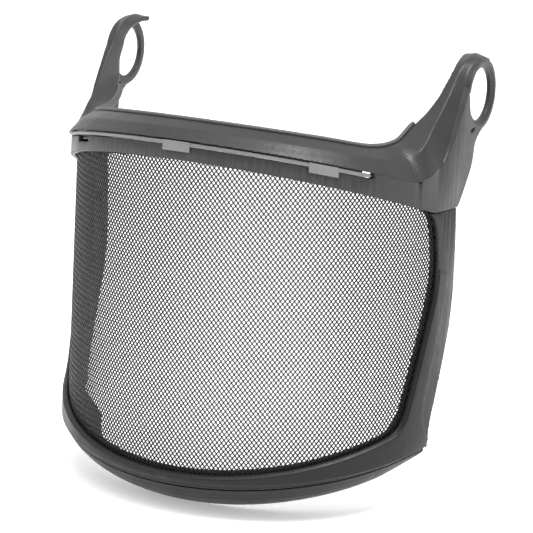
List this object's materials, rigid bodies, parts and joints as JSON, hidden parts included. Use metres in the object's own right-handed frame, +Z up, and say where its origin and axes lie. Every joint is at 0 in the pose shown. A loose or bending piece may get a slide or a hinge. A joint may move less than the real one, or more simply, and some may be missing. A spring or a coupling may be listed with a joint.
{
  "type": "wire mesh face shield",
  "caption": "Half-round woven wire mesh face shield in a two-part frame, carried by a moulded brow bracket whose two arms end in eyelets that pivot on a helmet.",
  "frame": {"origin": "on the mid-plane, at the middle of the common axis of the two eyelets", "axes": "+X towards the wearer's left along the eyelet axis, -Y to the front, +Z up along the straight sides of the half-round screen"},
  "size_m": [0.21, 0.1451, 0.2282],
  "materials": {
    "bracket_plastic": "fine moulded grain, dark grey",
    "seal_rubber": "matt, dark grey",
    "rail_plastic": "satin, light grey",
    "frame_plastic": "satin, near black",
    "retainer_plastic": "satin, black",
    "mesh_steel": "black coated wire"
  },
  "bodies": {
    "root": {"visor_bracket": "bracket_plastic", "brow_seal": "seal_rubber", "screen_clip_rail": "rail_plastic", "screen_frame_outer": "frame_plastic", "screen_frame_inner": "retainer_plastic", "wire_mesh_screen": "mesh_steel"}
  },
  "joints": []
}
